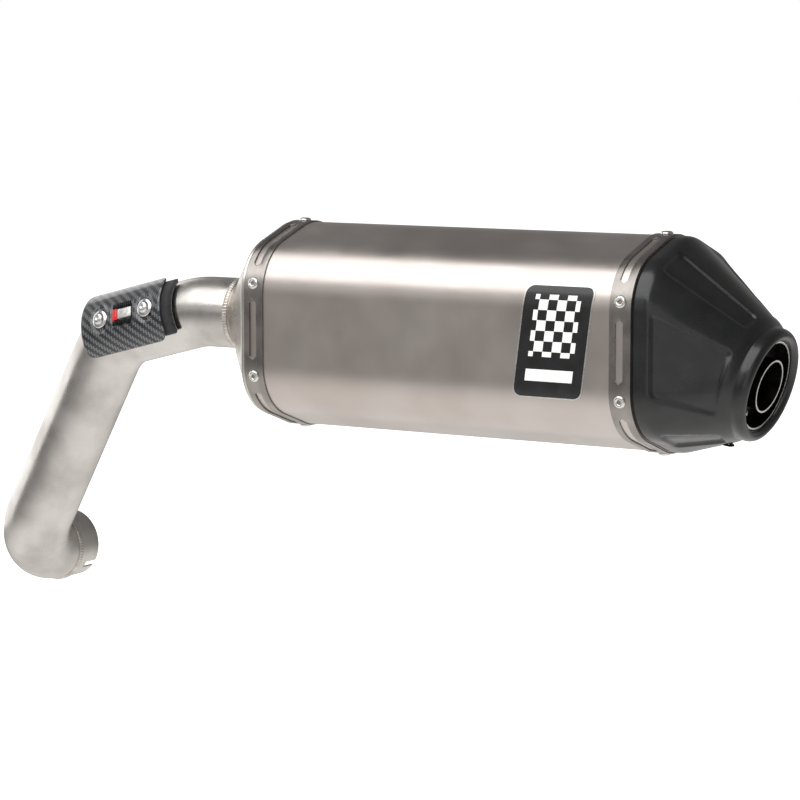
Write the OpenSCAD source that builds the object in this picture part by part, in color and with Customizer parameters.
// Motorcycle slip-on exhaust: link pipe, six-sided can and black end cap.
// Origin: centre of the slip socket's mouth, which opens towards +Y.
// +X runs along the can towards the outlet, +Z is up.

/* [Can] */
// Length of the sleeve that shows between the two bands
sleeve_len = 277; // [220:1:340]
// Height of the can over its top and bottom ridges
can_h = 147; // [122:1:178]
// Width of the can over its flat sides
can_w = 132; // [110:1:160]
// Radius of the four side corners
side_r = 39; // [32:1:42]
// Radius of the top and bottom ridges
ridge_r = 40; // [34:1:44]
// How far the upper facets drop from the ridge to the corner
ridge_drop = 8.5; // [6:0.5:12]
// Sheet thickness of the sleeve
sleeve_t = 1.2; // [0.8:0.1:1.6]
// Width of each rivet band
band_w = 16; // [13:0.5:20]
// Sheet thickness of the bands
band_t = 1; // [0.8:0.1:1.4]
// Length of the inlet cone, from the band to the pipe
cone_len = 46; // [38:1:56]
// Sheet thickness of the inlet cone
cone_t = 1.5; // [1:0.1:2]

/* [Rivets] */
// Radius of the rivet shanks and their holes
rivet_r = 2.4; // [2:0.1:2.6]
// Radius of the domed rivet heads
rivet_head_r = 4.4; // [3.8:0.1:5]
// Height of the domed rivet heads
rivet_head_h = 1.8; // [1.4:0.1:2.4]

/* [Link pipe] */
// Outer diameter of the link pipe
pipe_d = 52; // [44:1:62]
// Wall thickness of the link pipe
pipe_t = 1.4; // [1:0.1:2]
// Length of the slip socket
socket_len = 22; // [18:1:30]
// Bend radius of the lower bend, on the pipe's centre line
low_r = 40; // [36:1:50]
// Lean of the riser from vertical, in degrees
riser_lean = 28; // [20:1:36]
// Length of the riser between its bend corners
riser_len = 200; // [160:1:240]
// Bend radius of the middle bend
mid_r = 48; // [40:1:56]
// Rise of the link towards the can, in degrees
link_rise = 14.5; // [6:0.5:18]
// Length of the link between its bend corners
link_len = 84; // [80:1:110]
// Bend radius where the link turns level
top_r = 80; // [60:1:100]
// Length from the last bend corner to the inlet cone
inlet_len = 37; // [24:1:50]

/* [Outlet] */
// Length of the outlet tube along its centre line
outlet_len = 93; // [86:1:110]
// Downward tilt of the outlet, in degrees
outlet_tilt = 15; // [8:1:18]
// Outer radius of the outlet tube
outlet_r = 31; // [28:0.5:33]
// Wall thickness of the outlet tube
outlet_t = 1.2; // [1:0.1:1.6]
// Thickness of the end cap's wall
cap_t = 2.5; // [2:0.1:3]
// Radius of the round lip's section
lip_r = 4.5; // [3.5:0.5:5.5]

/* [Noise insert] */
// Outer radius of the insert's tube
insert_r = 18.4; // [15:0.1:21]
// Length of the insert's tube
insert_len = 62; // [50:1:70]
// Running gap between the insert and the outlet tube
insert_gap = 0.3; // [0.2:0.05:0.5]
// Distance of the insert's flange from the mouth
flange_inset = 10; // [8:0.5:14]
// Length of the insert's skirt
skirt_len = 15; // [12:0.5:18]

/* [Hanger] */
// Height of the hanger bracket's bridge over the sleeve
hanger_h = 20; // [16:1:26]
// Distance of the hanger hole from the front band
hanger_x = 60; // [50:1:120]
// Radius of the hole through the hanger's bush
bush_r = 4.2; // [3.2:0.1:5.2]

/* [Heat shield] */
// Length of the heat shield
shield_len = 76; // [66:1:80]
// Half of the angle that the shield covers, in degrees
shield_half = 51; // [40:1:56]
// Angle of the shield's bolts above level, in degrees
shield_turn = 21; // [15:1:35]
// Air gap and pad between the pipe and the shield
shield_gap = 4.5; // [4:0.1:7]
// Thickness of the shield
shield_t = 2; // [1.5:0.1:2.5]
// Distance between the two shield bolts
bolt_gap = 43; // [36:1:50]

/* [Sleeve plate] */
// Length of the plate along the sleeve
plate_len = 53; // [40:1:64]
// Height of the plate's upper edge over the can's axis
plate_top = 41; // [30:1:46]
// Depth of the plate's lower edge under the can's axis
plate_low = 33; // [24:1:36]
// Thickness of the plate
plate_t = 0.5; // [0.3:0.1:0.8]
// Distance of the plate's lower front corner from the front band
plate_x = 203; // [20:1:204]
// How far the plate's ends lean towards the outlet
plate_lean = 10; // [0:1:14]

/* [Hidden] */

$fn = 64;
far = 400;               // longer than any piece, for cutting solids
lap = 0.5;               // overlap that joins two solids of one piece
pipe_r = pipe_d / 2;
weld_r = 1.8;

// Six-sided section: a ridge disc above and below, a corner disc at each side
ridge_z = can_h / 2 - ridge_r;
corner_y = can_w / 2 - side_r;
corner_z = ridge_z - ridge_drop;
// Angle from vertical at which a ridge hands over to a corner
facet_turn = atan(ridge_drop / corner_y)
    + asin((ridge_r - side_r) / norm([corner_y, ridge_drop]));
ridge_steps = 5;         // odd, so that one facet is level on the ridge
side_steps = 9;
side_step = (90 - facet_turn) / side_steps;
side_rivet_turn = 90 - 1.5 * side_step;   // on the second facet of a corner

// Corners of the link pipe's centre line, and the can's front
mid_turn = 90 - riser_lean - link_rise;
riser_dir = [sin(riser_lean), 0, cos(riser_lean)];
link_dir = [cos(link_rise), 0, sin(link_rise)];
low_at = [0, -socket_len - low_r, 0];
mid_at = low_at + riser_len * riser_dir;
top_at = mid_at + link_len * link_dir;
neck_at = top_at + [inlet_len, 0, 0];
neck_up = 4;             // height of the cone's neck over the can's axis
can_at = neck_at + [cone_len + band_w, 0, -neck_up];
// Centre of the middle bend's arc
mid_elevation = (90 - riser_lean + link_rise) / 2;
mid_bend_at = mid_at
    + mid_r / cos(mid_turn / 2) * [sin(mid_elevation), 0, -cos(mid_elevation)];
pipe_sides = 32;
slot_turn = 36;          // degrees below level
slot_len = 12;
slot_w = 3.5;

// Inside of the can, measured from the sleeve's front edge
neck_len = 5;
rim_w = 3.5;
front_plate_x = 2;
plate_sheet = 1.5;
rear_plate_x = sleeve_len - 8;
outlet_x = rear_plate_x + plate_sheet;
core_r = pipe_r;
core_t = 1.2;
wool_t = 4;
cap_gap = 0.8;           // shadow gap between the rear band and the cap
cap_x = sleeve_len + band_w;
core_len = rear_plate_x - front_plate_x - plate_sheet;
hole_pitch = 22;
hole_r = 3;
hole_rows = 6;

// Outlet, measured along its own centre line
mouth_z = outlet_len;
bolt_z = mouth_z - 18;
bolt_r = 3;
bolt_gap_r = 0.08;       // running gap round the bolt in its boss
bolt_tip = outlet_r - outlet_t + 0.1;
bolt_head_r = 6;
boss_top = outlet_r + 9;
skirt_r = outlet_r - outlet_t - insert_gap;
skirt_t = 1.2;
flange_z = mouth_z - flange_inset;
insert_t = 1.2;
// The cap's lowest line runs from its edge on the can to its end by the mouth
cap_edge_x = cap_x + 9;
cap_edge_z = (cap_edge_x - outlet_x) * cos(outlet_tilt) + can_h / 2 * sin(outlet_tilt);
cap_edge_r = can_h / 2 * cos(outlet_tilt) - (cap_edge_x - outlet_x) * sin(outlet_tilt);
cap_end_z = mouth_z - 11;
cap_end_r = outlet_r + 13;
// Distance of the bolt's seat from the outlet's axis, sunk into the cap
bolt_sink = 1.5;
bolt_seat = cap_end_r - bolt_sink
    + (cap_edge_r - cap_end_r) * (cap_end_z - bolt_z) / (cap_end_z - cap_edge_z);

// Hanger
hanger_t = 3;
foot_len = 18;
bridge_half = 18;
bracket_w = 36;
slope_run = 4;
grommet_r = 9;
grommet_lip = 2.5;
bush_wall = 1.8;
side_y = can_w / 2;
hanger_at = [hanger_x, side_y + hanger_h, 0];

// Heat shield, measured along the link from the middle bend's corner
shield_s = 29.5;
bolt_s = 2;             // the bolts' middle, from the shield's middle
shield_in = pipe_r + shield_gap;
shield_out = shield_in + shield_t;
pad_start = -5;
pad_over = 9;
pad_gap = 0.3;
boss_r = 6;
boss_sink = 10;
// The flat top of a boss touches the curved shield along its two sides
boss_rise = sqrt(shield_in * shield_in - boss_r * boss_r) - pipe_r;
screw_r = 2.6;
washer_r = 7;
washer_t = 1;
badge_size = [17, 8, 0.8];

function arc(cy, cz, r, from, to, steps) =
    [for (i = [0:steps]) let (a = from + (to - from) * i / steps)
        [cy + r * sin(a), cz + r * cos(a)]];

// Outline of the can, grown outwards by g
function can_outline(g) = concat(
    arc(0, ridge_z, ridge_r + g, -facet_turn, facet_turn, ridge_steps),
    arc(corner_y, corner_z, side_r + g, facet_turn, 90, side_steps),
    arc(corner_y, -corner_z, side_r + g, 90, 180 - facet_turn, side_steps),
    arc(0, -ridge_z, ridge_r + g, 180 - facet_turn, 180 + facet_turn, ridge_steps),
    arc(-corner_y, -corner_z, side_r + g, 180 + facet_turn, 270, side_steps),
    arc(-corner_y, corner_z, side_r + g, 270, 360 - facet_turn, side_steps));

module along_x(x0, x1)
    translate([x0, 0, 0])
        rotate([90, 0, 90])
            linear_extrude(x1 - x0)
                children();

module can_solid(x0, x1, g)
    along_x(x0, x1)
        polygon(can_outline(g));

module can_shell(x0, x1, g, t)
    along_x(x0, x1)
        difference() {
            polygon(can_outline(g));
            polygon(can_outline(g - t));
        }

module tube(r, t, length)
    difference() {
        cylinder(r = r, h = length);
        translate([0, 0, -lap])
            cylinder(r = r - t, h = length + 2 * lap);
    }

// Rings of a round bend: each is a point of the centre line and its direction
function bend_rings(corner, from, to, r, turn, steps) = let (
        side = (to - from * cos(turn)) / sin(turn),
        start = corner - from * r * tan(turn / 2))
    [for (i = [0:steps]) let (a = turn * i / steps)
        [start + r * (from * sin(a) + side * (1 - cos(a))),
            from * cos(a) + side * sin(a)]];

// The first bend starts at the socket's end
function pipe_rings() = concat(
    bend_rings(low_at, [0, -1, 0], riser_dir, low_r, 90, 12),
    bend_rings(mid_at, riser_dir, link_dir, mid_r, mid_turn, 8),
    bend_rings(top_at, link_dir, [1, 0, 0], top_r, link_rise, 3),
    [[neck_at, [1, 0, 0]]]);

// Points of one ring, turned alike on every ring so that the tube has no twist
function ring_points(ring, r) = let (
        across = cross(ring[1], [-cos(riser_lean), 0, sin(riser_lean)]),
        u = across / norm(across),
        v = cross(ring[1], u))
    [for (k = [0:pipe_sides - 1]) let (a = 360 * k / pipe_sides)
        ring[0] + r * (cos(a) * u + sin(a) * v)];

// Two triangles between the corners a, b, c and d
function quad(a, b, c, d) = [[a, b, c], [a, c, d]];

module bent_pipe(r, bore) {
    rings = pipe_rings();
    n = pipe_sides;
    inner = n * len(rings);
    last = n * (len(rings) - 1);
    points = concat(
        [for (ring = rings) each ring_points(ring, r)],
        [for (ring = rings) each ring_points(ring, bore)]);
    walls = [for (i = [0:len(rings) - 2], k = [0:n - 1])
        let (a = i * n + k, b = i * n + (k + 1) % n)
            each concat(quad(a, a + n, b + n, b),
                quad(inner + a, inner + b, inner + b + n, inner + a + n))];
    ends = [for (k = [0:n - 1]) let (b = (k + 1) % n)
        each concat(quad(k, b, inner + b, inner + k),
            quad(last + k, inner + last + k, inner + last + b, last + b))];
    polyhedron(points, concat(walls, ends));
}

// Places
module at_pipe_start()
    translate([0, -socket_len, 0])
        rotate([90, 0, 0])
            children();

module at_can()
    translate(can_at)
        children();

// +Z along the outlet, +X downwards
module at_outlet()
    at_can()
        translate([outlet_x, 0, 0])
            rotate([0, 90 + outlet_tilt, 0])
                children();

// +X along the link, +Z out of the shield's middle
module at_shield()
    translate(mid_at)
        rotate([0, -link_rise, 0])
            translate([shield_s, 0, 0])
                rotate([90 - shield_turn, 0, 0])
                    children();

// +Z straight out of each band rivet's seat, on a can grown by g
module at_band_rivets(x, g) {
    for (side = [-1, 1])
        translate([x, 0, side * (ridge_z + (ridge_r + g) * cos(facet_turn / ridge_steps))])
            rotate([side > 0 ? 0 : 180, 0, 0])
                children();
    for (y_side = [-1, 1], z_side = [-1, 1]) {
        seat = (side_r + g) * cos(side_step / 2);
        translate([x, y_side * (corner_y + seat * sin(side_rivet_turn)),
                z_side * (corner_z + seat * cos(side_rivet_turn))])
            rotate([-y_side * (z_side > 0 ? side_rivet_turn : 180 - side_rivet_turn), 0, 0])
                children();
    }
}

module rivet_holes(x)
    at_band_rivets(x, 0)
        translate([0, 0, -5])
            cylinder(r = rivet_r, h = 10, $fn = 24);

// A domed blind rivet with a hollow middle, seated at z = 0
module rivet(grip)
    difference() {
        union() {
            rotate_extrude($fn = 32)
                polygon([[0, 0], [rivet_head_r, 0], [rivet_head_r, 0.5],
                    [rivet_head_r * 0.7, rivet_head_h * 0.85],
                    [rivet_head_r * 0.5, rivet_head_h], [0, rivet_head_h]]);
            translate([0, 0, -grip])
                cylinder(r = rivet_r, h = grip + 0.2, $fn = 24);
        }
        translate([0, 0, -grip - 1])
            cylinder(r = rivet_r / 2, h = grip + rivet_head_h + 2, $fn = 24);
    }

module weld_bead(r)
    rotate_extrude()
        intersection() {
            translate([r, 0])
                circle(r = weld_r, $fn = 24);
            translate([r, -weld_r])
                square(2 * weld_r);
        }

// A plate bent round the link, from radius r0 to r1 and x0 to x1
module bent_plate(r0, r1, x0, x1, half)
    rotate([0, 90, 0])
        rotate([0, 0, 180 - half])
            rotate_extrude(angle = 2 * half)
                translate([r0, x0])
                    square([r1 - r0, x1 - x0]);

// Link pipe
module slip_socket()
    color("silver")
        difference() {
            at_pipe_start()
                translate([0, 0, -socket_len])
                    tube(pipe_r, pipe_t, socket_len);
            rotate([0, slot_turn, 0])
                translate([-far / 2, -slot_len, -slot_w / 2])
                    cube([far, 2 * slot_len, slot_w]);
        }

module socket_weld()
    color("lightgray")
        at_pipe_start()
            weld_bead(pipe_r);

module link_pipe()
    color("silver")
        bent_pipe(pipe_r, pipe_r - pipe_t);

// Can
module inlet_weld()
    color("lightgray")
        translate(neck_at)
            rotate([0, 90, 0])
                weld_bead(pipe_r);

// Outside of the cone at inset 0, its hollow at the sheet's thickness
module cone_form(inset) {
    neck_x = -band_w - cone_len + neck_len;
    rim_x = -band_w - rim_w;
    hull() {
        translate([neck_x, 0, neck_up])
            rotate([0, 90, 0])
                cylinder(r = pipe_r - inset, h = 0.5, $fn = 48);
        can_solid(rim_x + inset, rim_x + inset + 0.5, -sleeve_t - 1 - inset);
    }
}

module inlet_cone()
    color("gainsboro")
        at_can() {
            can_shell(-band_w - rim_w, 0, -sleeve_t, cone_t);
            translate([-band_w - cone_len, 0, neck_up])
                rotate([0, 90, 0])
                    tube(pipe_r, pipe_t, neck_len);
            difference() {
                cone_form(0);
                cone_form(cone_t);
                translate([-band_w - cone_len, 0, neck_up])
                    rotate([0, 90, 0])
                        cylinder(r = pipe_r - cone_t, h = cone_len - rim_w);
                can_solid(-band_w - rim_w, 0, -sleeve_t - cone_t);
            }
        }

module front_band()
    color("gray")
        at_can()
            difference() {
                can_shell(-band_w, 0, band_t, band_t);
                rivet_holes(-band_w / 2);
            }

module front_band_rivets()
    color("white")
        at_can()
            at_band_rivets(-band_w / 2, band_t)
                rivet(band_t + sleeve_t);

module outer_sleeve()
    color("#9b938d")
        at_can()
            difference() {
                can_shell(-band_w, cap_x, 0, sleeve_t);
                rivet_holes(-band_w / 2);
                rivet_holes(sleeve_len + band_w / 2);
            }

module rear_band()
    color("gray")
        at_can()
            difference() {
                can_shell(sleeve_len, cap_x, band_t, band_t);
                rivet_holes(sleeve_len + band_w / 2);
            }

module rear_band_rivets()
    color("white")
        at_can()
            at_band_rivets(sleeve_len + band_w / 2, band_t)
                rivet(band_t + sleeve_t);

// Inside the can
module front_plate()
    color("gainsboro")
        at_can()
            difference() {
                can_solid(front_plate_x, front_plate_x + plate_sheet, -sleeve_t);
                rotate([0, 90, 0])
                    cylinder(r = core_r - core_t, h = far, center = true);
            }

module perforated_core()
    color("gainsboro")
        at_can()
            translate([front_plate_x + plate_sheet, 0, 0])
                rotate([0, 90, 0])
                    difference() {
                        tube(core_r, core_t, core_len);
                        for (z = [hole_pitch:hole_pitch:core_len - hole_pitch],
                                a = [0:360 / hole_rows:359])
                            rotate([0, 0, a])
                                translate([core_r - 4, 0, z])
                                    rotate([0, 90, 0])
                                        cylinder(r = hole_r, h = 6, $fn = 16);
                    }

module wool_wrap()
    color("darkgray")
        at_can()
            translate([front_plate_x + plate_sheet, 0, 0])
                rotate([0, 90, 0])
                    tube(core_r + wool_t, wool_t, core_len);

module glass_packing()
    color("khaki")
        at_can()
            difference() {
                can_solid(front_plate_x + plate_sheet, rear_plate_x, -sleeve_t);
                rotate([0, 90, 0])
                    cylinder(r = core_r + wool_t, h = 3 * far, center = true);
            }

module rear_plate()
    color("gainsboro")
        at_can()
            difference() {
                can_solid(rear_plate_x, outlet_x, -sleeve_t);
                rotate([0, 90, 0])
                    cylinder(r = core_r - core_t, h = 3 * far, center = true);
            }

// Outlet
module outlet_tube()
    color("dimgray")
        difference() {
            at_outlet()
                translate([0, 0, -outlet_r])
                    tube(outlet_r, outlet_t, mouth_z + outlet_r);
            at_can()
                translate([outlet_x - far, -far / 2, -far / 2])
                    cube(far);
            at_outlet()
                translate([0, 0, bolt_z])
                    rotate([0, 90, 0])
                        cylinder(r = bolt_r + 0.3, h = far);
        }

// Outside of the cap at inset 0, its hollow at the wall's thickness
module cap_form(inset)
    hull() {
        at_can() {
            can_solid(cap_x + cap_gap, cap_edge_x - inset, -inset);
            can_solid(cap_edge_x - inset, cap_edge_x + 5 - inset, -2.5 - inset);
        }
        at_outlet() {
            translate([0, 0, cap_end_z - 1])
                cylinder(r = cap_end_r - inset, h = 2, $fn = 48);
            translate([0, 0, mouth_z - 2 - inset])
                cylinder(r = outlet_r + lip_r + 1.5 - inset, h = 2, $fn = 48);
        }
    }

module end_cap()
    color("#1c1c1e")
        difference() {
            union() {
                difference() {
                    cap_form(0);
                    cap_form(cap_t);
                }
                at_can()
                    can_shell(sleeve_len, cap_x + cap_gap + cap_t, -sleeve_t, cap_t);
                at_outlet()
                    translate([0, 0, mouth_z - 1])
                        rotate_extrude()
                            translate([outlet_r + lip_r - 0.5, 0])
                                circle(r = lip_r, $fn = 32);
                at_outlet()
                    translate([0, 0, bolt_z])
                        rotate([0, 90, 0])
                            translate([0, 0, boss_top + 1])
                                cylinder(r = 7, h = bolt_seat - boss_top - 1, $fn = 32);
            }
            at_outlet() {
                translate([0, 0, mouth_z - 30])
                    cylinder(r = outlet_r, h = 60);
                translate([0, 0, bolt_z])
                    rotate([0, 90, 0]) {
                        cylinder(r = bolt_r + 0.3, h = far, $fn = 32);
                        translate([0, 0, bolt_seat])
                            cylinder(r = bolt_head_r + 0.5, h = far, $fn = 32);
                    }
            }
        }

module bolt_boss()
    color("gainsboro")
        difference() {
            at_outlet()
                translate([0, 0, bolt_z])
                    rotate([0, 90, 0])
                        cylinder(r = 6, h = boss_top, $fn = 32);
            at_outlet() {
                translate([0, 0, bolt_z - 20])
                    cylinder(r = outlet_r, h = 40);
                translate([0, 0, bolt_z])
                    rotate([0, 90, 0])
                        cylinder(r = bolt_r + bolt_gap_r, h = far, $fn = 32);
            }
        }

// Button head with a hexagon socket, seated at z = 0 with its shank below
module button_bolt(head_r, head_h, shank_r, shank_len)
    difference() {
        union() {
            rotate_extrude($fn = 32)
                polygon([[0, 0], [head_r, 0], [head_r, head_h * 0.3],
                    [head_r * 0.85, head_h * 0.7], [head_r * 0.6, head_h], [0, head_h]]);
            translate([0, 0, -shank_len])
                cylinder(r = shank_r, h = shank_len + 0.2, $fn = 32);
        }
        translate([0, 0, head_h * 0.4])
            cylinder(r = head_r * 0.42, h = head_h, $fn = 6);
    }

module insert_bolt()
    color("#1c1c1e")
        at_outlet()
            translate([0, 0, bolt_z])
                rotate([0, 90, 0])
                    translate([0, 0, bolt_seat])
                        button_bolt(bolt_head_r, 4, bolt_r, bolt_seat - bolt_tip);

// Noise insert
module insert_tube()
    color("#77706a")
        at_outlet()
            translate([0, 0, mouth_z + 2 - insert_len])
                tube(insert_r, insert_t, insert_len);

module insert_flange()
    color("#3a3a3c")
        at_outlet()
            difference() {
                translate([0, 0, flange_z - skirt_len])
                    cylinder(r = skirt_r, h = skirt_len);
                translate([0, 0, flange_z - skirt_len - skirt_t])
                    cylinder(r = skirt_r - skirt_t, h = skirt_len);
                cylinder(r = insert_r, h = 2 * mouth_z);
                for (a = [0:120:359])
                    rotate([0, 0, a])
                        translate([(skirt_r - skirt_t + insert_r) / 2, 0, 0])
                            cylinder(r = 1.6, h = 2 * mouth_z, $fn = 24);
            }

module insert_rivets()
    color("silver")
        at_outlet()
            for (a = [0:120:359])
                rotate([0, 0, a])
                    translate([(skirt_r - skirt_t + insert_r) / 2, 0, flange_z]) {
                        rotate_extrude($fn = 32)
                            polygon([[0, 0], [3, 0], [2.8, 0.8], [1.8, 1.6], [0, 1.8]]);
                        translate([0, 0, -2.2])
                            cylinder(r = 1.6, h = 2.3, $fn = 24);
                    }

// Hanger on the far side of the can
module hanger_bracket()
    color("gainsboro")
        at_can()
            difference() {
                translate([hanger_x, side_y, -bracket_w / 2])
                    linear_extrude(bracket_w)
                        polygon(hanger_profile());
                translate(hanger_at)
                    rotate([90, 0, 0])
                        cylinder(r = grommet_r, h = 3 * hanger_t, center = true);
                at_bracket_rivets()
                    cylinder(r = rivet_r, h = 20, center = true, $fn = 24);
            }

// Hat section: inner line along one side and back along the outer line
function hanger_profile() = let (
        inner = [[bridge_half + slope_run + foot_len, 0],
            [bridge_half + slope_run, 0], [bridge_half, hanger_h - hanger_t]],
        outer = [[bridge_half + hanger_t, hanger_h],
            [bridge_half + slope_run + hanger_t, hanger_t],
            [bridge_half + slope_run + foot_len, hanger_t]])
    concat(inner, [for (i = [2:-1:0]) [-inner[i][0], inner[i][1]]],
        [for (i = [2:-1:0]) [-outer[i][0], outer[i][1]]], outer);

module at_bracket_rivets()
    for (x_side = [-1, 1], z_side = [-1, 1])
        translate([hanger_x + x_side * (bridge_half + slope_run + foot_len - 7),
                side_y, z_side * (bracket_w / 2 - 8)])
            rotate([-90, 0, 0])
                children();

module bracket_rivets()
    color("white")
        at_can()
            at_bracket_rivets()
                translate([0, 0, hanger_t])
                    rivet(hanger_t);

module hanger_grommet()
    color("#151515")
        at_can()
            translate(hanger_at - [0, hanger_t, 0])
                rotate([-90, 0, 0])
                    rotate_extrude()
                        polygon([
                            [bush_r + bush_wall, -grommet_lip],
                            [grommet_r + 3, -grommet_lip], [grommet_r + 3, 0],
                            [grommet_r, 0], [grommet_r, hanger_t],
                            [grommet_r + 3, hanger_t],
                            [grommet_r + 3, hanger_t + grommet_lip],
                            [bush_r + bush_wall, hanger_t + grommet_lip]]);

module hanger_bush()
    color("silver")
        at_can()
            translate(hanger_at - [0, hanger_t + grommet_lip + 1.5, 0])
                rotate([-90, 0, 0])
                    difference() {
                        union() {
                            cylinder(r = bush_r + bush_wall, h = hanger_t + 2 * grommet_lip + 2);
                            cylinder(r = bush_r + bush_wall + 3, h = 1.5);
                        }
                        translate([0, 0, -1])
                            cylinder(r = bush_r, h = far);
                    }

// Plate on the near side of the sleeve
module sleeve_plate()
    color("black")
        at_can()
            intersection() {
                can_shell(0, sleeve_len, plate_t, plate_t);
                rotate([90, 0, 0])
                    linear_extrude(can_w)
                        polygon([
                            [plate_x, -plate_low], [plate_x + plate_len, -plate_low],
                            [plate_x + plate_len + plate_lean, plate_top],
                            [plate_x + plate_lean, plate_top]]);
            }

// Heat shield
module shield_boss(s)
    at_shield()
        translate([s, 0, pipe_r - boss_sink])
            difference() {
                cylinder(r = boss_r, h = boss_rise + boss_sink, $fn = 32);
                translate([0, 0, -1])
                    cylinder(r = screw_r, h = far, $fn = 24);
            }

// One boss stands on the middle bend, the other on the straight link
module shield_bosses()
    color("silver") {
        difference() {
            shield_boss(bolt_s - bolt_gap / 2);
            translate(mid_bend_at)
                rotate([90, 0, 0])
                    rotate_extrude()
                        translate([mid_r, 0])
                            circle(r = pipe_r);
        }
        difference() {
            shield_boss(bolt_s + bolt_gap / 2);
            at_shield()
                rotate([0, 90, 0])
                    cylinder(r = pipe_r, h = far, center = true);
        }
    }

module shield_pad()
    color("#101010")
        at_shield()
            difference() {
                bent_plate(pipe_r + pad_gap, shield_in, pad_start,
                    shield_len / 2 + pad_over, shield_half - 4);
                for (side = [-1, 1])
                    translate([bolt_s + side * bolt_gap / 2, 0, 0])
                        cylinder(r = boss_r + 1, h = far, $fn = 32);
            }

module heat_shield()
    color("#2a2a2c")
        at_shield()
            difference() {
                bent_plate(shield_in, shield_out, -shield_len / 2, shield_len / 2, shield_half);
                for (side = [-1, 1])
                    translate([bolt_s + side * bolt_gap / 2, 0, 0])
                        cylinder(r = screw_r, h = far, $fn = 24);
            }

module shield_washers()
    color("silver")
        at_shield()
            for (side = [-1, 1])
                translate([bolt_s + side * bolt_gap / 2, 0, shield_out])
                    difference() {
                        cylinder(r = washer_r, h = washer_t, $fn = 32);
                        translate([0, 0, -1])
                            cylinder(r = screw_r, h = 4, $fn = 24);
                    }

module shield_bolts()
    color("white")
        at_shield()
            for (side = [-1, 1])
                translate([bolt_s + side * bolt_gap / 2, 0, shield_out + washer_t])
                    button_bolt(4.8, 2.8, 2.5, shield_t + washer_t + shield_gap - 1.5);

module shield_badge()
    color("whitesmoke")
        at_shield()
            translate([bolt_s - badge_size.x / 2, -badge_size.y / 2, shield_out])
                cube(badge_size);

slip_socket();
socket_weld();
link_pipe();
inlet_weld();
inlet_cone();
front_band();
front_band_rivets();
outer_sleeve();
rear_band();
rear_band_rivets();
front_plate();
perforated_core();
wool_wrap();
glass_packing();
rear_plate();
outlet_tube();
end_cap();
bolt_boss();
insert_bolt();
insert_tube();
insert_flange();
insert_rivets();
hanger_bracket();
bracket_rivets();
hanger_grommet();
hanger_bush();
sleeve_plate();
shield_bosses();
shield_pad();
heat_shield();
shield_washers();
shield_bolts();
shield_badge();
